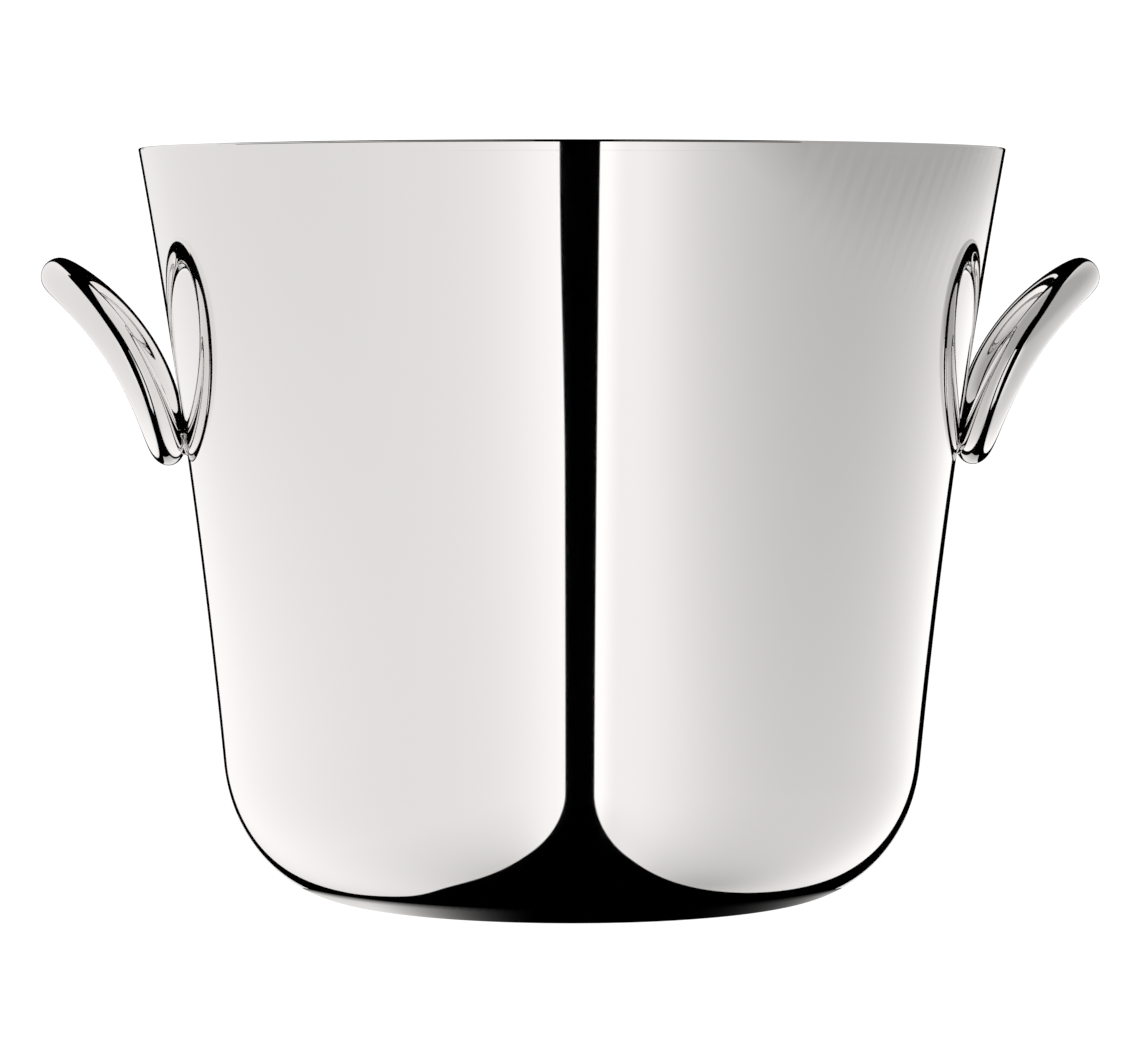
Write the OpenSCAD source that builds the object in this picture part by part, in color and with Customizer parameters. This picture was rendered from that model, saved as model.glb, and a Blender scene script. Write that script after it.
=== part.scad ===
/* [Body] */
// Outside diameter that the wall's line reaches at the mouth
mouth_d = 230.85; // [200:0.05:260]
// Height from the table to the top of the rim
height = 200; // [185:1:230]
// How much the wall leans outward at the mouth, in mm per mm of height
mouth_lean = 0.1775; // [0.14:0.0005:0.20]
// How much the wall's line bows, in mm per mm of height squared
wall_bow = 0.000255; // [0.0001:0.000005:0.0003]
// Height of the curve that turns the wall into the base
corner_h = 41; // [30:0.1:45]
// How far that curve runs inward, from the wall to the flat base
corner_w = 34.4; // [25:0.1:40]
// Thickness of the spun metal
wall_t = 1.4; // [1:0.1:2]

/* [Rim] */
// Height of the wire that stiffens the mouth
rim_h = 2.7; // [2.4:0.1:3.5]
// Width of the wire, from its outer face to its inner face
rim_w = 2.4; // [2.2:0.1:3]
// Radius on the wire's two top edges
rim_round = 0.4; // [0.3:0.1:1]

/* [Handle rings] */
// Height of the middle of the bar at the ring's foot
foot_z = 121.6; // [115:0.1:130]
// Gap between the wall and the back of the bar at the foot
foot_gap = 0.3; // [0.2:0.1:1.5]
// Length of the oval loop along its own curve, bar middle to bar middle
ring_len = 54.6; // [48:0.1:60]
// Width of the oval loop, bar middle to bar middle
ring_w = 58.8; // [50:0.1:64]
// Radius of the curve that the whole loop is bent on
ring_bend = 68.7; // [60:0.1:80]
// Angle from upright at which the loop leaves its foot
ring_start = 9.9; // [6:0.1:14]
// How far the loop is rolled in its own surface
ring_roll = 2.6; // [0:0.1:6]
// How far the loop is turned about its upright foot
ring_turn = -1.4; // [-4:0.1:4]
// Thickness of the bar through the loop's surface, at the foot
bar_foot_t = 9.3; // [8:0.1:10]
// Width of the bar in the loop's surface, at the foot
bar_foot_w = 11.7; // [9:0.1:13]
// Thickness of the bar through the loop's surface, at the tip
bar_tip_t = 9.7; // [8:0.1:11]
// Width of the bar in the loop's surface, at the tip
bar_tip_w = 9.2; // [8:0.1:11]

/* [Handle feet] */
// Width of the pad that joins a ring to the wall
pad_w = 11; // [9:0.1:13]
// Height of the pad
pad_h = 7.5; // [6:0.1:9]
// How far the pad is let into the back of the ring
pad_seat = 1.2; // [0.5:0.1:2]

/* [Hidden] */

mouth_r = mouth_d / 2;
corner_steps = 14;      // straight steps round the base curve
wall_steps = 12;        // straight steps up the wall
rim_steps = 6;          // straight steps round each edge of the wire
ring_steps = 64;        // sections round a loop
bar_sides = 18;         // sides of the bar
round_fn = 180;         // sides of a turned piece

// Outside radius of the wall's line, and its slope, at height z
function wall_r(z) = mouth_r - mouth_lean * (height - z) + wall_bow * pow(height - z, 2);
function wall_slope(z) = mouth_lean - 2 * wall_bow * (height - z);

// The base curve is a quarter ellipse. It meets the wall where their slopes agree, a little
// below the ellipse's widest point. corner_angle gives the angle on the ellipse for a wall
// slope taken at height z, and settle gives the height of that point, so three turns find it.
function corner_angle(z) = -atan(wall_slope(z) * corner_h / corner_w);
function settle(z) = corner_h * (1 + sin(corner_angle(z)));
join_z = settle(settle(settle(corner_h)));
join_angle = corner_angle(join_z);
base_r = wall_r(join_z) - corner_w * cos(join_angle);

corner_line = [
    for (i = [0 : corner_steps])
        let (a = -90 + (90 + join_angle) * i / corner_steps)
        [base_r + corner_w * cos(a), corner_h * (1 + sin(a))]
];
wall_top = height - rim_h;
wall_line = [
    for (i = [1 : wall_steps])
        let (z = join_z + (wall_top - join_z) * i / wall_steps)
        [wall_r(z), z]
];
outer_line = concat(corner_line, wall_line);

// The inner face is the outer line moved inward by the metal's thickness
function unit(v) = v / norm(v);
function line_way(line, i) = unit(line[min(i + 1, len(line) - 1)] - line[max(i - 1, 0)]);
function inward(way) = [-way[1], way[0]];
last = len(outer_line) - 1;
inner_line = [
    for (i = [last : -1 : 0])
        let (in = i == 0 ? [0, 1] : i == last ? [-1, 0] : inward(line_way(outer_line, i)))
        outer_line[i] + wall_t * in
];

// The wire's outer face carries on up the wall's line, and small rounded edges meet its flat top
face_tilt = atan(wall_slope(height));
edge_z = height - rim_round;
rim_r = wall_r(edge_z) - rim_round / cos(face_tilt);
rim_in = wall_r(wall_top) - rim_w;
rim_outline = concat(
    [[wall_r(wall_top), wall_top]],
    [for (i = [0 : rim_steps]) let (a = -face_tilt + (90 + face_tilt) * i / rim_steps)
        [rim_r + rim_round * cos(a), edge_z + rim_round * sin(a)]],
    [for (i = [0 : rim_steps]) let (a = 90 + 90 * i / rim_steps)
        [rim_in + rim_round * (1 + cos(a)), edge_z + rim_round * sin(a)]],
    [[rim_in, wall_top]]
);

// One handle ring. Its flat pattern is an oval loop that starts at its foot, rolled a little.
// The pattern is then bent on a level cylinder, so the loop curves away from the wall as it rises.
foot_r = wall_r(foot_z) + foot_gap + bar_foot_t / 2 * cos(ring_start);
function tip_share(t) = (1 - cos(t)) / 2;
function rolled(t) =
    let (along = ring_len * tip_share(t), across = ring_w / 2 * sin(t))
    [along * cos(ring_roll) - across * sin(ring_roll), across * cos(ring_roll) + along * sin(ring_roll)];
function bend_angle(t) = ring_start + rolled(t)[0] / ring_bend * 180 / PI;
function loop_point(t) =
    let (e = bend_angle(t))
    [ring_bend * (cos(ring_start) - cos(e)), rolled(t)[1], ring_bend * (sin(e) - sin(ring_start))];
function loop_way(t) = unit(loop_point(t + 1) - loop_point(t - 1));
function loop_out(t) = [cos(bend_angle(t)), 0, -sin(bend_angle(t))];
function loop_side(t) = unit(cross(loop_way(t), loop_out(t)));
function bar_t(t) = bar_foot_t + (bar_tip_t - bar_foot_t) * tip_share(t);
function bar_w(t) = bar_foot_w + (bar_tip_w - bar_foot_w) * tip_share(t);
function bar_point(t, a) =
    loop_point(t) + bar_w(t) / 2 * cos(a) * loop_side(t) + bar_t(t) / 2 * sin(a) * loop_out(t);
ring_points = [
    for (i = [0 : ring_steps - 1]) for (j = [0 : bar_sides - 1])
        bar_point(360 * i / ring_steps, 360 * j / bar_sides)
];
function ring_index(i, j) = (i % ring_steps) * bar_sides + j % bar_sides;
ring_faces = [
    for (i = [0 : ring_steps - 1]) for (j = [0 : bar_sides - 1]) each [
        [ring_index(i, j), ring_index(i + 1, j), ring_index(i + 1, j + 1)],
        [ring_index(i, j), ring_index(i + 1, j + 1), ring_index(i, j + 1)]
    ]
];

// The spun bowl: wall, base curve and flat base in one sheet
module bucket_shell() {
    color("gainsboro")
        rotate_extrude($fn = round_fn)
            polygon(concat([[0, 0]], outer_line, inner_line, [[0, wall_t]]));
}

// The wire that is soldered round the mouth and polished into the wall
module rim_wire() {
    color("silver")
        rotate_extrude($fn = round_fn)
            polygon(rim_outline);
}

// A round-ended bar along X, the outline of the pad, from radius a to radius b
module pad_bar(a, b) {
    side = pad_w / 2 - pad_h / 2;
    translate([a, -side, foot_z - pad_h / 2])
        cube([b - a, 2 * side, pad_h]);
    for (y = [-side, side])
        translate([a, y, foot_z])
            rotate([0, 90, 0])
                cylinder(h = b - a, d = pad_h, $fn = 48);
}

// How far out the pad's end reaches
pad_end = foot_r - bar_foot_t / 2 * cos(ring_start) + pad_seat;

// One cast ring, on the +X side, with the pad's seat cut in its back
module handle_ring() {
    color("whitesmoke")
        difference() {
            translate([foot_r, 0, foot_z])
                rotate([0, 0, ring_turn])
                    polyhedron(points = ring_points, faces = ring_faces, convexity = 4);
            pad_bar(mouth_r - 2 * pad_w, pad_end);
        }
}

// One pad, on the +X side, hollowed at its back to sit on the round wall
module handle_foot() {
    color("lightgray")
        difference() {
            pad_bar(wall_r(foot_z) - pad_h / 2, pad_end);
            rotate_extrude($fn = round_fn)
                polygon(concat([[0, 0]], outer_line, [[0, wall_top]]));
        }
}

module handle_ring_right() { handle_ring(); }
module handle_ring_left() { rotate([0, 0, 180]) handle_ring(); }
module handle_foot_right() { handle_foot(); }
module handle_foot_left() { rotate([0, 0, 180]) handle_foot(); }

bucket_shell();
rim_wire();
handle_ring_left();
handle_ring_right();
handle_foot_left();
handle_foot_right();
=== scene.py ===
# %% [markdown]
# # A silver champagne bucket
# A spun silver bucket with a wire soldered round its mouth and a cast oval ring on each side.
# Everything on it is a mirror, so two things make the picture: surfaces that are smooth enough to
# reflect without ripples, and a small studio of white cards and darkness for them to reflect.
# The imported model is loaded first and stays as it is. Each of its plain nodes is then replaced by
# a finer surface of the same size, in the same place, in metres.

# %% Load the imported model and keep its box
import bpy
import math
import numpy as np
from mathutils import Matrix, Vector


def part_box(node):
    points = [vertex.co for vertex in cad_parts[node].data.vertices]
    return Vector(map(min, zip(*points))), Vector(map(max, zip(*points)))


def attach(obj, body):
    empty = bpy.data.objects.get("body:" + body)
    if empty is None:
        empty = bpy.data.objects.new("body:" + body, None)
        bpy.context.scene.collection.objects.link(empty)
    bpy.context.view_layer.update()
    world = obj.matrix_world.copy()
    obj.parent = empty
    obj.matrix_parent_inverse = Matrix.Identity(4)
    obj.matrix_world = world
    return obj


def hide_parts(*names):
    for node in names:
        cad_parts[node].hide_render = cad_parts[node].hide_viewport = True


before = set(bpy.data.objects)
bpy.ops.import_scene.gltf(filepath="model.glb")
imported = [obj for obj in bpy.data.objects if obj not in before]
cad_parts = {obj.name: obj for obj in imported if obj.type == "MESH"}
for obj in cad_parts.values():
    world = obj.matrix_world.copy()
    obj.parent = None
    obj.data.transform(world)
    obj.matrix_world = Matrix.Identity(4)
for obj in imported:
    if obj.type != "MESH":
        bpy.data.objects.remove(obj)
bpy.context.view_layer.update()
rim_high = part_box("rim_wire")[1]
print("nodes:", sorted(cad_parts))
print("bucket is", round(rim_high.z * 1000, 1), "mm tall")

# %% [markdown]
# ## Camera
# The bucket is seen from the front, a little below its rim, through a long lens that keeps its
# sides almost straight. A camera could be aimed with a constraint, but a worked-out rotation is
# plainer: the camera stands on a circle round the bucket and tips down a few degrees.

# %% Camera
CAMERA_DISTANCE = 1.4052
CAMERA_HEIGHT = 0.1702
CAMERA_TURN = math.radians(2.0)    # the bucket's left handle comes forward by this much
CAMERA_TIP = math.radians(2.954)
LENS = 165.3                       # millimetres
SENSOR = 36                        # millimetres

camera_data = bpy.data.cameras.new("camera")
camera_data.lens = LENS
camera_data.sensor_width = SENSOR
camera_data.clip_end = 100
camera = bpy.data.objects.new("camera", camera_data)
camera.location = (
    -CAMERA_DISTANCE * math.sin(CAMERA_TURN),
    -CAMERA_DISTANCE * math.cos(CAMERA_TURN),
    CAMERA_HEIGHT,
)
camera.rotation_euler = (math.pi / 2 - CAMERA_TIP, 0, -CAMERA_TURN)
bpy.context.collection.objects.link(camera)
bpy.context.scene.camera = camera
print("camera at", [round(v, 3) for v in camera.location])

# %% [markdown]
# ## From a grid of points to a mesh
# Every surface here is a grid: rows one way, columns the other, and a formula for each point.
# Blender could spin or sweep a curve instead, but a grid gives exact control over where the
# points fall, and a mirror shows every misplaced one. Both ways round the grid can be closed,
# which joins its last row or column to its first.

# %% Grid to mesh
def grid_faces(rows, columns, close_rows, close_columns):
    """Quads between neighbouring grid points: (row, column), next column, next row and column, next row."""
    r = np.arange(rows if close_rows else rows - 1)
    c = np.arange(columns if close_columns else columns - 1)
    row, column = np.meshgrid(r, c, indexing="ij")
    next_row, next_column = (row + 1) % rows, (column + 1) % columns
    corners = [row * columns + column, row * columns + next_column,
               next_row * columns + next_column, next_row * columns + column]
    return np.stack([corner.ravel() for corner in corners], axis=1)


def make_mesh(name, points, faces):
    """A smooth-shaded object at the origin from an (n, 3) array of points and a list of faces."""
    mesh = bpy.data.meshes.new(name)
    mesh.from_pydata(points.tolist(), [], faces)
    mesh.validate()
    mesh.shade_smooth()
    piece = bpy.data.objects.new(name, mesh)
    bpy.context.collection.objects.link(piece)
    return piece


def turned(name, profile, columns, poles):
    """A turned piece: each (radius, height) of the profile goes round the Z axis in a circle.
    point = (radius cos a, radius sin a, height). The profile runs so that the metal is on its
    left, going up the outside and down the inside. With poles, its first and last points lie on
    the axis and close as fans of triangles. Without, the profile is a loop and closes on itself."""
    ring = profile[1:-1] if poles else profile
    a = np.arange(columns) * 2 * np.pi / columns
    radius, height = ring[:, :1], ring[:, 1:]
    points = np.stack([radius * np.cos(a), radius * np.sin(a), height + 0 * a], axis=2)
    points = points.reshape(-1, 3)
    faces = grid_faces(len(ring), columns, not poles, True).tolist()
    if poles:
        first, last, top = len(points), len(points) + 1, (len(ring) - 1) * columns
        c = np.arange(columns)
        after = (c + 1) % columns
        faces += np.stack([np.full(columns, first), after, c], axis=1).tolist()
        faces += np.stack([np.full(columns, last), top + c, top + after], axis=1).tolist()
        points = np.vstack([points, [0, 0, profile[0, 1]], [0, 0, profile[-1, 1]]])
    return make_mesh(name, points, faces)


print("a 3 by 4 closed grid has", len(grid_faces(3, 4, False, True)), "faces")

# %% [markdown]
# ## The line of the wall
# The bucket is spun from one sheet over a wooden former. Its outside line is a slightly bowed
# slope that flares to the mouth, and a quarter ellipse that turns it into the flat base. The two
# meet where their slopes agree, which is a little below the ellipse's widest point, so no crease
# shows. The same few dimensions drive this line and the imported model.

# %% Wall line
HEIGHT = rim_high.z
MOUTH_R = 0.115425                 # radius that the wall's line reaches at the mouth
MOUTH_LEAN = 0.1775                # how much the wall leans outward at the mouth
WALL_BOW = 0.255                   # how much its line bows, per metre
CORNER_H = 0.0410                  # height of the curve that turns the wall into the base
CORNER_W = 0.0344                  # how far that curve runs inward
SETTLE = 4                         # turns of the loop that finds where wall and corner meet
WALL_T = 0.0014                    # thickness of the sheet
RIM_H = 0.0027                     # height of the mouth wire
RIM_W = 0.0024                     # width of the mouth wire
RIM_ROUND = 0.0004                 # rounding of its top edges


def wall_r(z):
    """Radius of the wall's line: the mouth's, less the lean times the drop, plus the bow."""
    return MOUTH_R - MOUTH_LEAN * (HEIGHT - z) + WALL_BOW * (HEIGHT - z) ** 2


def wall_slope(z):
    """How fast that radius grows with height."""
    return MOUTH_LEAN - 2 * WALL_BOW * (HEIGHT - z)


def corner_angle(z):
    """Angle on the corner's ellipse where its slope is the wall's slope at height z."""
    return -math.atan(wall_slope(z) * CORNER_H / CORNER_W)


join_z = CORNER_H
for _ in range(SETTLE):
    join_z = CORNER_H * (1 + math.sin(corner_angle(join_z)))
JOIN_ANGLE = corner_angle(join_z)
BASE_R = wall_r(join_z) - CORNER_W * math.cos(JOIN_ANGLE)
print("wall meets corner at", round(join_z * 1000, 1), "mm, flat base radius",
      round(BASE_R * 1000, 1), "mm")

# %% [markdown]
# ## The bucket shell
# One closed sheet: across the base, round the corner, up the wall, and back down its inner face,
# which is the outer line moved inward by the thickness of the metal. The corner gets more rows
# than the wall because its reflections bend fastest.

# %% Bucket shell
SHELL_COLUMNS = 300
CRISP = 0.00002                    # an extra row this close to an edge keeps its shading crisp
wall_top = HEIGHT - RIM_H


def line_normal(line):
    """Unit normals of a line in the (radius, height) plane, to the left of its direction."""
    way = np.gradient(line, axis=0)
    left = np.stack([-way[:, 1], way[:, 0]], axis=1)
    return left / np.linalg.norm(left, axis=1, keepdims=True)


def outer_line(base_rows, corner_rows, wall_rows):
    """Base from the axis outward, then the quarter ellipse, then the bowed wall."""
    base_radius = np.linspace(0, BASE_R, base_rows, endpoint=False)
    base = np.stack([base_radius, 0 * base_radius], axis=1)
    a = np.linspace(-np.pi / 2, JOIN_ANGLE, corner_rows, endpoint=False)
    corner = np.stack([BASE_R + CORNER_W * np.cos(a), CORNER_H * (1 + np.sin(a))], axis=1)
    z = np.append(np.linspace(join_z, wall_top - CRISP, wall_rows), wall_top)
    return np.vstack([base, corner, np.stack([wall_r(z), z], axis=1)])


outside = outer_line(16, 64, 96)
inside = outer_line(10, 36, 60)
inside = inside + WALL_T * line_normal(inside)
inside[0, 0] = 0
inside[-1, 1] = wall_top
shell = turned("silver_shell", np.vstack([outside, inside[::-1]]), SHELL_COLUMNS, poles=True)
print("shell has", len(shell.data.polygons), "faces")

# %% [markdown]
# ## The mouth wire
# A wire is soldered round the mouth and filed flush, so its outer face carries on up the wall's
# line with no seam to see. Only a small rounded edge turns it to the flat top, and that edge is
# the thin dark line at the mouth. The section is a closed loop.

# %% Mouth wire
RIM_COLUMNS = 480
face_tilt = math.atan(wall_slope(HEIGHT))
edge_z = HEIGHT - RIM_ROUND
outer_edge_r = wall_r(edge_z) - RIM_ROUND / math.cos(face_tilt)
inner_r = wall_r(wall_top) - RIM_W


def edge(centre_r, start, stop, steps):
    """A rounded edge: centre + round (cos a, sin a), for a from start to stop."""
    a = np.linspace(start, stop, steps)
    return np.stack([centre_r + RIM_ROUND * np.cos(a), edge_z + RIM_ROUND * np.sin(a)], axis=1)


FACE_ROWS, EDGE_ROWS = 10, 14
face_z = np.append(wall_top, np.linspace(wall_top + CRISP, edge_z, FACE_ROWS))
rim_face = np.stack([wall_r(face_z), face_z], axis=1)
outer_edge = edge(outer_edge_r, -face_tilt, math.pi / 2, EDGE_ROWS)[1:]
inner_edge = edge(inner_r + RIM_ROUND, math.pi / 2, math.pi, EDGE_ROWS)
under = np.array([[inner_r, wall_top + CRISP], [inner_r, wall_top], [inner_r + CRISP, wall_top],
                  [wall_r(wall_top) - CRISP, wall_top]])
section = np.vstack([rim_face, outer_edge, inner_edge, under])
rim = turned("mouth_wire", section, RIM_COLUMNS, poles=False)
print("mouth wire's outer radius", round((outer_edge_r + RIM_ROUND) * 1000, 2), "mm, packed",
      round(rim_high.x * 1000, 2))

# %% [markdown]
# ## The handle rings
# Each ring is a cast loop. Its flat pattern is an oval that starts at its foot. The pattern is
# rolled by a few degrees and then bent on a level cylinder, so the ring curves away from the wall
# as it rises. The bar is an ellipse in section, wide and flat at the foot and round at the tip.
# Both rings come from one mould, so the left one is the right one turned half round the bucket.

# %% Handle rings
FOOT_Z = 0.1216                    # height of the middle of the bar at the foot
FOOT_GAP = 0.0003                  # gap between the wall and the back of the bar there
RING_LEN = 0.0546                  # length of the oval along its own curve
RING_W = 0.0588                    # width of the oval
RING_BEND = 0.0687                 # radius that the oval is bent on
RING_START = math.radians(9.9)     # angle from upright at which it leaves the foot
RING_ROLL = math.radians(2.6)      # how far it is rolled in its own surface
RING_TURN = math.radians(-1.4)     # how far it is turned about its foot
BAR_FOOT = (0.0117, 0.0093)        # width and thickness of the bar at the foot
BAR_TIP = (0.0092, 0.0097)         # and at the tip
foot_r = wall_r(FOOT_Z) + FOOT_GAP + BAR_FOOT[1] / 2 * math.cos(RING_START)


def turn_z(points, angle):
    """Points turned about the Z axis."""
    c, s = math.cos(angle), math.sin(angle)
    return points @ np.array([[c, s, 0], [-s, c, 0], [0, 0, 1]])


def loop_frame(t):
    """Middle of the bar, direction across the loop's surface and direction out of it, at angle t.
    along = length (1 - cos t) / 2 and across = width sin t / 2 make the oval, which is rolled.
    e = start + along / bend is the angle on the bending cylinder."""
    along, across = RING_LEN * (1 - np.cos(t)) / 2, RING_W / 2 * np.sin(t)
    c, s = math.cos(RING_ROLL), math.sin(RING_ROLL)
    e = RING_START + (along * c - across * s) / RING_BEND
    middle = np.stack([RING_BEND * (math.cos(RING_START) - np.cos(e)), across * c + along * s,
                       RING_BEND * (np.sin(e) - math.sin(RING_START))], axis=1)
    outward = np.stack([np.cos(e), 0 * e, -np.sin(e)], axis=1)
    way = np.roll(middle, -1, axis=0) - np.roll(middle, 1, axis=0)
    side = np.cross(way, outward)
    return middle, side / np.linalg.norm(side, axis=1, keepdims=True), outward


def ring_points(stations, sides):
    """point = middle + width/2 cos a * side + thickness/2 sin a * outward, with both sizes easing
    from the foot's to the tip's by (1 - cos t) / 2. It is then turned and carried to its foot."""
    t = np.arange(stations) * 2 * np.pi / stations
    a = np.arange(sides) * 2 * np.pi / sides
    middle, side, outward = loop_frame(t)
    share = ((1 - np.cos(t)) / 2)[:, None, None]
    wide = (BAR_FOOT[0] + (BAR_TIP[0] - BAR_FOOT[0]) * share) / 2
    thick = (BAR_FOOT[1] + (BAR_TIP[1] - BAR_FOOT[1]) * share) / 2
    points = (middle[:, None] + wide * np.cos(a)[:, None] * side[:, None]
              + thick * np.sin(a)[:, None] * outward[:, None])
    return turn_z(points.reshape(-1, 3), RING_TURN) + np.array([foot_r, 0, FOOT_Z])


STATIONS, SIDES = 480, 144
ring_surface = ring_points(STATIONS, SIDES)
ring_grid = grid_faces(STATIONS, SIDES, True, True).tolist()
right_ring = make_mesh("right_ring", ring_surface, ring_grid)
left_ring = make_mesh("left_ring", turn_z(ring_surface, math.pi), ring_grid)
print("ring reaches", round(ring_surface[:, 0].max() * 1000, 1), "mm from the axis")

# %% [markdown]
# ## The pads
# A small oval pad fills the gap between each ring and the wall. Its ends spread a little, as
# solder does when it runs into a joint, so its section is narrowest in the middle of the gap.

# %% Pads
PAD_W, PAD_H = 0.011, 0.0075
PAD_SPREAD = 0.0011                # how far the solder runs out at each end
PAD_WAIST = 0.0006                 # how far its middle is drawn in
PAD_SQUARE = 0.8                   # 1 would make the outline a plain ellipse, less squares it
PAD_IN_WALL = 0.0003               # how far it reaches into the wall
PAD_IN_RING = 0.0012               # and into the back of the ring


def pad_points(rows, columns):
    """Along x from inside the wall to inside the ring. At share s of the way the outline is a
    rounded oval, grown by the spread times (2 s - 1) to the fourth power."""
    s = np.linspace(0, 1, rows)[:, None]
    a = np.arange(columns) * 2 * np.pi / columns
    grow = PAD_SPREAD * (2 * s - 1) ** 4 - PAD_WAIST
    y = (PAD_W / 2 + grow) * np.sign(np.cos(a)) * np.abs(np.cos(a)) ** PAD_SQUARE
    z = (PAD_H / 2 + grow) * np.sign(np.sin(a)) * np.abs(np.sin(a)) ** PAD_SQUARE
    wall_x = np.sqrt(np.maximum(wall_r(FOOT_Z + z) ** 2 - y ** 2, 0)) - PAD_IN_WALL
    ring_x = foot_r - BAR_FOOT[1] / 2 * math.cos(RING_START) + PAD_IN_RING
    x = wall_x + (ring_x - wall_x) * s
    return np.stack([x, y, FOOT_Z + z], axis=2).reshape(-1, 3)


PAD_ROWS, PAD_COLUMNS = 24, 64
pad_surface = pad_points(PAD_ROWS, PAD_COLUMNS)
side_faces = grid_faces(PAD_ROWS, PAD_COLUMNS, False, True)[:, ::-1].tolist()
first_end = list(range(PAD_COLUMNS))
last_end = [(PAD_ROWS - 1) * PAD_COLUMNS + column for column in reversed(first_end)]
pad_faces = side_faces + [first_end, last_end]
right_pad = make_mesh("right_pad", pad_surface, pad_faces)
left_pad = make_mesh("left_pad", turn_z(pad_surface, math.pi), pad_faces)
print("each pad has", len(pad_faces), "faces")

# %% [markdown]
# ## Faces that look outward
# A face has a front and a back, and later tools need every front to look out of the metal. The
# order of a grid's corners decides it, and with closed grids going up, down and round it is easy
# to get one wrong. Blender can work it out for a closed shape, so the last word is left to it.

# %% Faces look outward
def face_outward(piece):
    """Recalculates the normals of a closed mesh so that every face points out of the metal."""
    bpy.context.view_layer.objects.active = piece
    bpy.ops.object.select_all(action="DESELECT")
    piece.select_set(True)
    bpy.ops.object.mode_set(mode="EDIT")
    bpy.ops.mesh.select_all(action="SELECT")
    bpy.ops.mesh.normals_make_consistent(inside=False)
    bpy.ops.object.mode_set(mode="OBJECT")


turned_pieces = (shell, rim)
cast_pieces = (right_ring, left_ring, right_pad, left_pad)
for piece in turned_pieces + cast_pieces:
    face_outward(piece)
    print(piece.name, "has", len(piece.data.polygons), "faces, all looking outward")

# %% [markdown]
# ## Shader sums
# The finish is a few sums on points in space. Linking node after node by hand hides the sums, so a
# small class wraps a socket and lets plain Python expressions build the nodes. An image could hold
# the same finish, but it would need unwrapping and would blur close to.

# %% Shader sums
class Socket:
    """An output of a node. Arithmetic on it adds Math nodes, or Vector Math nodes for vectors."""

    def __init__(self, tree, output):
        self.tree, self.output = tree, output

    @staticmethod
    def feed(tree, target, value):
        """Links a wrapped socket to an input, or sets a plain number, colour or vector on it."""
        if isinstance(value, Socket):
            tree.links.new(value.output, target)
        else:
            target.default_value = value

    @staticmethod
    def node(tree, kind, settings, output, **inputs):
        """Adds any other node: its settings first, then its inputs by name. Wraps one output."""
        added = tree.nodes.new(kind)
        for key, value in settings.items():
            setattr(added, key, value)
        for key, value in inputs.items():
            Socket.feed(tree, added.inputs[key], value)
        return Socket(tree, added.outputs[output])

    def work_out(self, operation, first, second):
        """One Math or Vector Math node that works on two values."""
        vector = self.output.type == "VECTOR"
        added = self.tree.nodes.new("ShaderNodeVectorMath" if vector else "ShaderNodeMath")
        added.operation = operation
        Socket.feed(self.tree, added.inputs[0], first)
        Socket.feed(self.tree, added.inputs[1], second)
        return Socket(self.tree, added.outputs[0])

    def __add__(self, other):
        return self.work_out("ADD", self, other)

    def __radd__(self, other):
        return self.work_out("ADD", other, self)

    def __mul__(self, other):
        return self.work_out("MULTIPLY", self, other)

    def __rmul__(self, other):
        return self.work_out("MULTIPLY", other, self)


print("a socket can now be added and multiplied")

# %% [markdown]
# ## Silver
# Polished silver is a metal that reflects about 95 percent of every colour, with a surface so
# smooth that only a buffing haze of a few hundredths of roughness is left. On the spun bucket the
# haze changes in level bands, because the wheel runs round it, so its noise is squeezed in
# height. The cast rings are buffed every way and keep an even, slightly softer haze. The haze
# could be a painted map, but noise on real lengths keeps its size on every piece.

# %% Silver
SILVER = (0.95, 0.945, 0.94, 1)


def silver(name, haze, change, size, squeeze):
    """roughness = haze + change * noise(point / size), with height divided by squeeze as well."""
    material = bpy.data.materials.new(name)
    material.use_nodes = True
    tree = material.node_tree
    shader = tree.nodes["Principled BSDF"]
    shader.inputs["Base Color"].default_value = SILVER
    shader.inputs["Metallic"].default_value = 1
    point = Socket.node(tree, "ShaderNodeTexCoord", {}, "Object")
    scaled = point * (1 / size, 1 / size, 1 / (size * squeeze))
    noise = Socket.node(tree, "ShaderNodeTexNoise", {"noise_dimensions": "3D"}, 0,
                        Vector=scaled, Scale=1, Detail=3, Roughness=0.55)
    Socket.feed(tree, shader.inputs["Roughness"], haze + change * noise)
    print(name, "roughness from", haze, "to", haze + change)
    return material


polished = silver("polished_silver", haze=0.020, change=0.020, size=0.030, squeeze=0.05)
cast = silver("cast_silver", haze=0.022, change=0.022, size=0.006, squeeze=1)
for piece in turned_pieces:
    piece.data.materials.append(polished)
for piece in cast_pieces:
    piece.data.materials.append(cast)

# %% [markdown]
# ## Riding on the frame
# Nothing on this bucket moves: solder holds it all, so every piece rides on the one body. Each
# piece stands in for the imported node of the same size. In a shadowless studio the bucket
# leaves the floor unshaded, so soft light passes through it.

# %% Riding on the frame
for piece, node, slot in (
    (shell, "bucket_shell", "polished_silver"),
    (rim, "rim_wire", "polished_silver"),
    (left_ring, "handle_ring_left", "cast_silver"),
    (right_ring, "handle_ring_right", "cast_silver"),
    (left_pad, "handle_foot_left", "cast_silver"),
    (right_pad, "handle_foot_right", "cast_silver"),
):
    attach(piece, "root")
    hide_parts(node)
    piece.visible_diffuse = False
    print(piece.name, "stands in for", node)

# %% [markdown]
# ## The floor
# Polished silver shows whatever stands round it, so the studio is built from what the bucket
# should show: a long white card on each side, a low one behind, a black edge in front, and
# darkness elsewhere. The floor under it all is plain matt white. It is kept out of reflections,
# where a real studio would hide it behind the cards.

# %% Floor
FLOOR_REACH = 30
FLOOR_WHITE = 0.92

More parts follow.
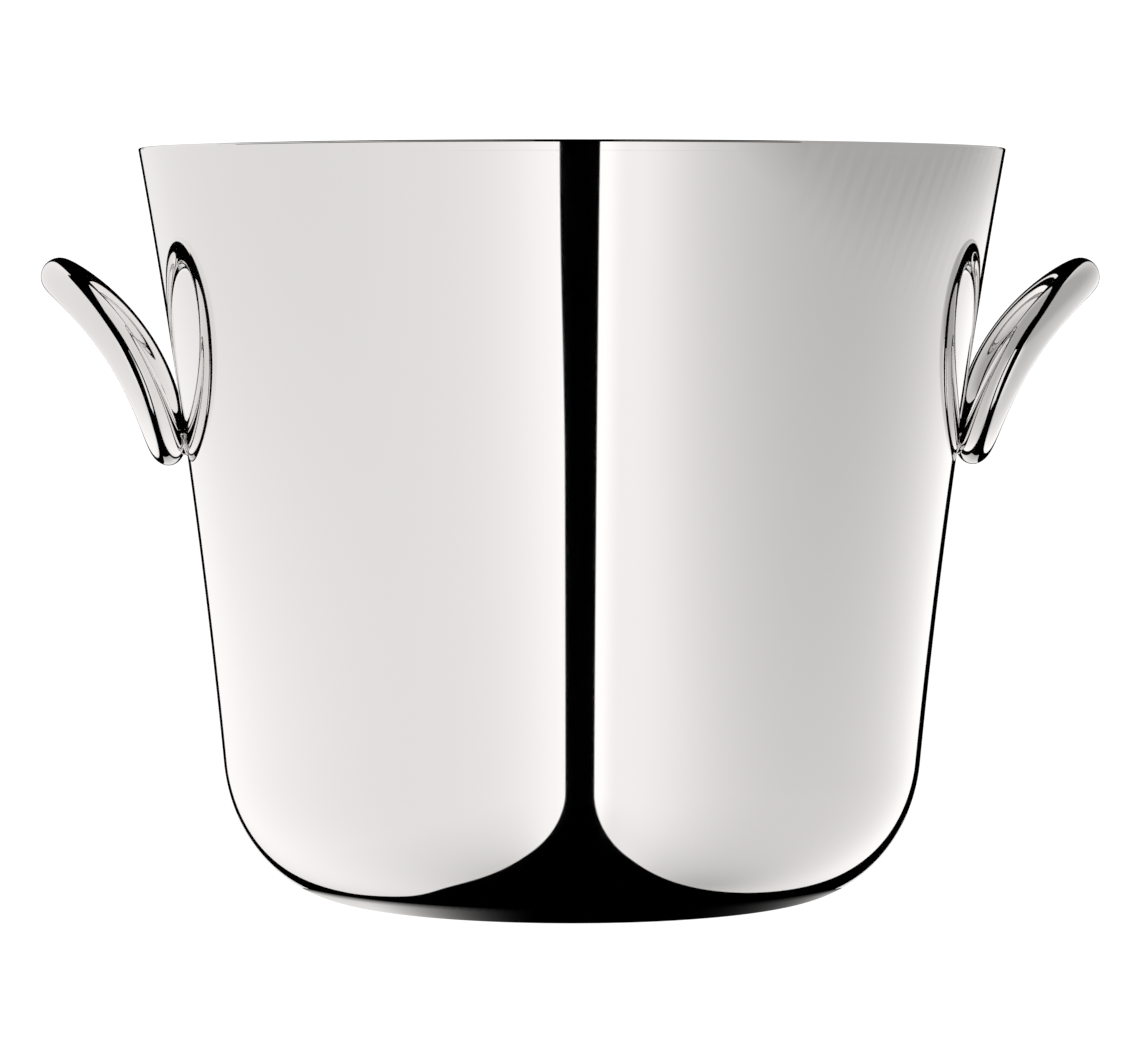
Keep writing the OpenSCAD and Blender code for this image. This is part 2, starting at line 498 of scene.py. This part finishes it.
floor_corners = FLOOR_REACH * np.array([[-1, -1, 0], [1, -1, 0], [1, 1, 0], [-1, 1, 0]], float)
floor = make_mesh("floor", floor_corners, [[0, 1, 2, 3]])
floor.visible_glossy = False
paint = bpy.data.materials.new("pale_floor")
paint.use_nodes = True
paint_shader = paint.node_tree.nodes["Principled BSDF"]
paint_shader.inputs["Base Color"].default_value = (FLOOR_WHITE, FLOOR_WHITE, FLOOR_WHITE, 1)
paint_shader.inputs["Roughness"].default_value = 1
paint_shader.inputs["Specular IOR Level"].default_value = 0
floor.data.materials.append(paint)
print("floor is", 2 * FLOOR_REACH, "m square")

# %% [markdown]
# ## Sheets of light
# A card is paper lit from behind. Area lamps could do it, but each has one brightness, while a
# real card fades towards its edges, and a mirror shows that. So a card is a grid whose points
# each carry their own light, as an attribute that an emission shader reads. It glows only in
# reflections: the camera, the floor and the shadows never see it. Its light is given as the tone
# it should have in the finished picture, which is easier to judge than watts.

# %% Sheets of light
SHINE = 0.945                      # the share of light that the silver gives back
WARMTH = (1.02, 1, 0.99)           # paper is a little warm


def to_linear(tone):
    """Light for a tone from 0 to 1 on a screen: tone / 12.92 when low, else a power of 2.4."""
    tone = np.clip(tone, 0, 1)
    return np.where(tone <= 0.04045, tone / 12.92, ((tone + 0.055) / 1.055) ** 2.4)


def glow(name, points, tone):
    """A sheet of light seen only in reflections. points is a (rows, columns, 3) grid in the
    camera's own left-right and near-far, and tone is how bright each point looks in silver."""
    rows, columns = tone.shape
    sheet = make_mesh(name, turn_z(points.reshape(-1, 3), -CAMERA_TURN),
                      grid_faces(rows, columns, False, False).tolist())
    light = to_linear(tone).reshape(-1, 1) / SHINE * np.array(WARMTH)
    colour = np.hstack([light, np.ones((len(light), 1))]).astype(np.float32)
    stored = sheet.data.color_attributes.new("light", "FLOAT_COLOR", "POINT")
    stored.data.foreach_set("color", colour.ravel())
    material = bpy.data.materials.new(name)
    material.use_nodes = True
    material.cycles.emission_sampling = "NONE"
    tree = material.node_tree
    tree.nodes.clear()
    stored_light = Socket.node(tree, "ShaderNodeAttribute", {"attribute_name": "light"}, "Color")
    shining = Socket.node(tree, "ShaderNodeEmission", {}, "Emission", Color=stored_light)
    Socket.feed(tree, tree.nodes.new("ShaderNodeOutputMaterial").inputs["Surface"], shining)
    sheet.data.materials.append(material)
    sheet.visible_camera = False
    sheet.visible_diffuse = False
    sheet.visible_shadow = False
    sheet.visible_transmission = False
    print(name, "tone from", round(float(tone.min()), 2), "to", round(float(tone.max()), 2))


# %% [markdown]
# ## Shaping a card
# Four small helpers shape the cards: a rounded corner, a smooth hill, a smooth step, and the grid
# itself, whose columns crowd towards both ends where the edges show. A side card is flat and
# leans away from the camera, so that its far end stands clear of the bucket.

# %% Shaping a card
CARD_FRONT = -0.658                # the near end of both side cards
CARD_NEAR = 0.172                  # their distance from the axis, beside the bucket


def corner_cut(distance, length, height):
    """How far a rounded corner pulls in: height (1 - sqrt(1 - (1 - distance / length)^2))."""
    part = 1 - np.clip(distance / length, 0, 1)
    return height * (1 - np.sqrt(1 - part ** 2))


def hill(y, middle, front, back):
    """A smooth hill, exp(-((y - middle) / width)^2), with its own width on each side."""
    return np.exp(-((y - middle) / np.where(y < middle, front, back)) ** 2)


def ease(value, start, length):
    """Rises from 0 to 1 between start and start + length, as x x (3 - 2 x)."""
    x = np.clip((value - start) / length, 0, 1)
    return x * x * (3 - 2 * x)


def card_grid(front, rear, bottom, top, rows=60, columns=240):
    """y from front to rear, closest together at the ends, and z from bottom(y) to top(y).
    Also gives each point's share of the way from front to rear."""
    share = (1 - np.cos(np.linspace(0, np.pi, columns))) / 2
    y = front + (rear - front) * share
    up = np.linspace(0, 1, rows)[:, None]
    return y + 0 * up, bottom(y) + (top(y) - bottom(y)) * up, share + 0 * up


def side_card(name, side, lean, y, z, tone):
    """A card beside the bucket: x = side (near + tan(lean) y). Tones here run from 0 to 255."""
    x = side * (CARD_NEAR + math.tan(math.radians(lean)) * y)
    glow(name, np.stack([x, y, z], axis=2), tone / 255)


print("cards start", -CARD_FRONT, "m in front of the axis")

# %% [markdown]
# ## The left card
# The left half of the wall shows this card. Its near end makes the left edge of the black stripe,
# its bottom edge makes the white tongue that curls over the base, and its far end leaves a thin
# dark line along the silhouette. It is whitest in front and a little greyer beside the bucket.

# %% Left card
LEFT_REAR = 0.85
LEFT_LEAN = 12.8


def left_bottom(y):
    """Level, with a rounded front corner, a low hill, a drop beside the bucket and a late climb."""
    edge = -0.348 + corner_cut(y - CARD_FRONT, length=0.32, height=0.25)
    edge = edge + 0.021 * hill(y, middle=-0.04, front=0.11, back=0.07)
    edge = edge - 0.045 * ease(y, start=0, length=0.2)
    return edge + 0.38 * np.maximum(y - 0.42, 0)


def left_top(y):
    """Level, with a rounded front corner, and higher behind the bucket's near side."""
    edge = 0.285 - corner_cut(y - CARD_FRONT, length=0.20, height=0.20)
    return edge + 0.35 * ease(y, start=-0.02, length=0.3)


y, z, share = card_grid(CARD_FRONT, LEFT_REAR, left_bottom, left_top)
y = y + (1 - share) * 0.04 * ease(z, start=-0.065, length=0.085)
tone = 248 - 25 * hill(y, middle=-0.15, front=0.27, back=0.16)
high_drop = (3 + 13 * ease(y, start=-0.2, length=0.25)) * ease(y, start=-0.5, length=0.15)
tone = tone - high_drop * ease(z, start=0.02, length=0.16)
tone = tone - 90 * np.maximum(-z - 0.06, 0) * ease(y, start=-0.45, length=0.3)
tone = tone + 4 * ease(-y, start=0.55, length=0.1)
side_card("left_card", -1, LEFT_LEAN, y, z, tone)

# %% [markdown]
# ## The right card
# This one is shorter and leans less, so the dark line on its side is wider. It is greyer too,
# above all beside the bucket and high up, which turns the right half of the wall to a soft grey
# with a white band next to the stripe.

# %% Right card
RIGHT_REAR = 0.243
RIGHT_LEAN = 8.2
RIGHT_DARKEST = 165


def right_bottom(y):
    """Level, with a rounded corner at each end."""
    edge = -0.37 + corner_cut(y - CARD_FRONT, length=0.36, height=0.26)
    return edge + corner_cut(RIGHT_REAR - y, length=0.45, height=0.22)


def right_top(y):
    """Level, and higher towards the rear."""
    return 0.30 + 0.35 * ease(y, start=-0.2, length=0.25)


y, z, share = card_grid(CARD_FRONT, RIGHT_REAR, right_bottom, right_top)
y = y + share * 0.2 * (z + 0.13)
tone = 255 - 17 * ease(y, start=-0.6, length=0.15) * (1 - ease(y, start=-0.05, length=0.2))
tone = tone - 33 * hill(y, middle=-0.09, front=0.145, back=0.18)
not_rear = 1 - ease(y, start=-0.1, length=0.15)
tone = tone - 140 * np.maximum(z, 0) * ease(y, start=-0.42, length=0.2) * not_rear
tone = tone - 50 * ease(z, start=0.15, length=0.05) * ease(y, start=-0.5, length=0.15)
low_drop = 8 + 25 * ease(y, start=-0.15, length=0.15)
tone = tone - low_drop * ease(-z, start=0.05, length=0.25)
side_card("right_card", 1, RIGHT_LEAN, y, z, np.maximum(tone, RIGHT_DARKEST))

# %% [markdown]
# ## The card behind
# A low card behind the bucket is seen only where the base curves under, at both ends of its lower
# edge. It stays below table height, or it would put a white line outside the dark silhouette.

# %% Card behind
BACK_HALF = 0.245
BACK_Y = 1.0
BACK_BOTTOM, BACK_TOP = -0.85, -0.12

x, z, share = card_grid(-BACK_HALF, BACK_HALF, lambda x: BACK_BOTTOM, lambda x: BACK_TOP)
z = z + 0 * share
tone = 0.90 - 0.22 * ease(-z, start=0.1, length=0.8)
glow("back_card", np.stack([x, BACK_Y + 0 * x, z], axis=2), tone)

# %% [markdown]
# ## The black flag
# The two side cards leave a gap in front, where the camera looks in, and the gap is the black
# stripe down the middle. A black board stands in it almost edge-on. It gives the stripe a right
# edge that stays straight however the cards are set.

# %% Black flag
FLAG_NEAR = (0.0185, -0.204)       # its end by the bucket, x and y
FLAG_FAR = (0.0772, CARD_FRONT)
FLAG_HALF = 0.45                   # half its height

along = np.linspace(0, 1, 30)
up = np.linspace(-FLAG_HALF, FLAG_HALF, 20)[:, None]
x = FLAG_NEAR[0] + (FLAG_FAR[0] - FLAG_NEAR[0]) * along + 0 * up
y = FLAG_NEAR[1] + (FLAG_FAR[1] - FLAG_NEAR[1]) * along + 0 * up
glow("flag", np.stack([x, y, up + 0 * x], axis=2), 0 * x)

# %% [markdown]
# ## Glow on the table
# Right under the bucket's edge the table lights the metal on both sides and leaves the middle
# dark. A flat ring of light on the table does this, and fades in with the angle from the front.

# %% Table glow
GLOW_INSIDE, GLOW_OUTSIDE = 0.055, 0.0735
GLOW_LIFT = 0.0001

a = np.linspace(-np.pi, np.pi, 181)
r = np.linspace(GLOW_INSIDE, GLOW_OUTSIDE, 8)[:, None]
left = 0.86 * ease(-np.degrees(a), start=8, length=45) ** 0.8
right = 0.70 * ease(np.degrees(a), start=25, length=65)
tone = (left + right) * (1 - ease(r, start=0.0705, length=0.003))
glow("table_glow", np.stack([r * np.sin(a), -r * np.cos(a), GLOW_LIFT + 0 * r * a], axis=2), tone)

# %% [markdown]
# ## Light in the mouth
# Looked at from above, an empty silver bucket is bright inside, because it reflects the ceiling
# many times over. A disc of light just below the rim stands in for the ceiling.

# %% Light in the mouth
MOUTH_REACH = 0.110
MOUTH_Z = 0.1985

a = np.linspace(-np.pi, np.pi, 121)
r = np.linspace(0.001, MOUTH_REACH, 20)[:, None]
tone = 0.95 - 0.25 * (r / MOUTH_REACH) ** 2 + 0 * a
glow("mouth_light", np.stack([r * np.sin(a), -r * np.cos(a), MOUTH_Z + 0 * r * a], axis=2), tone)

# %% [markdown]
# ## Air and darkness
# Soft white light from everywhere makes the floor an even white. Reflections must not see it, or
# the metal would have no blacks, so the world is black to them. The Light Path node tells the two
# kinds of ray apart. The plain screen transform keeps whites white.

# %% World
AIR = 1.15                         # enough for a floor of 0.92 to come out white

world = bpy.data.worlds.new("studio")
bpy.context.scene.world = world
world.use_nodes = True
tree = world.node_tree
reflected = Socket.node(tree, "ShaderNodeLightPath", {}, "Is Glossy Ray")
air = Socket.node(tree, "ShaderNodeMix", {"data_type": "RGBA"}, "Result",
                  Factor=reflected, A=(AIR, AIR, AIR, 1), B=(0, 0, 0, 1))
Socket.feed(tree, tree.nodes["Background"].inputs["Color"], air)
bpy.context.scene.view_settings.view_transform = "Standard"
print("world is", AIR, "to the floor and 0 to reflections")
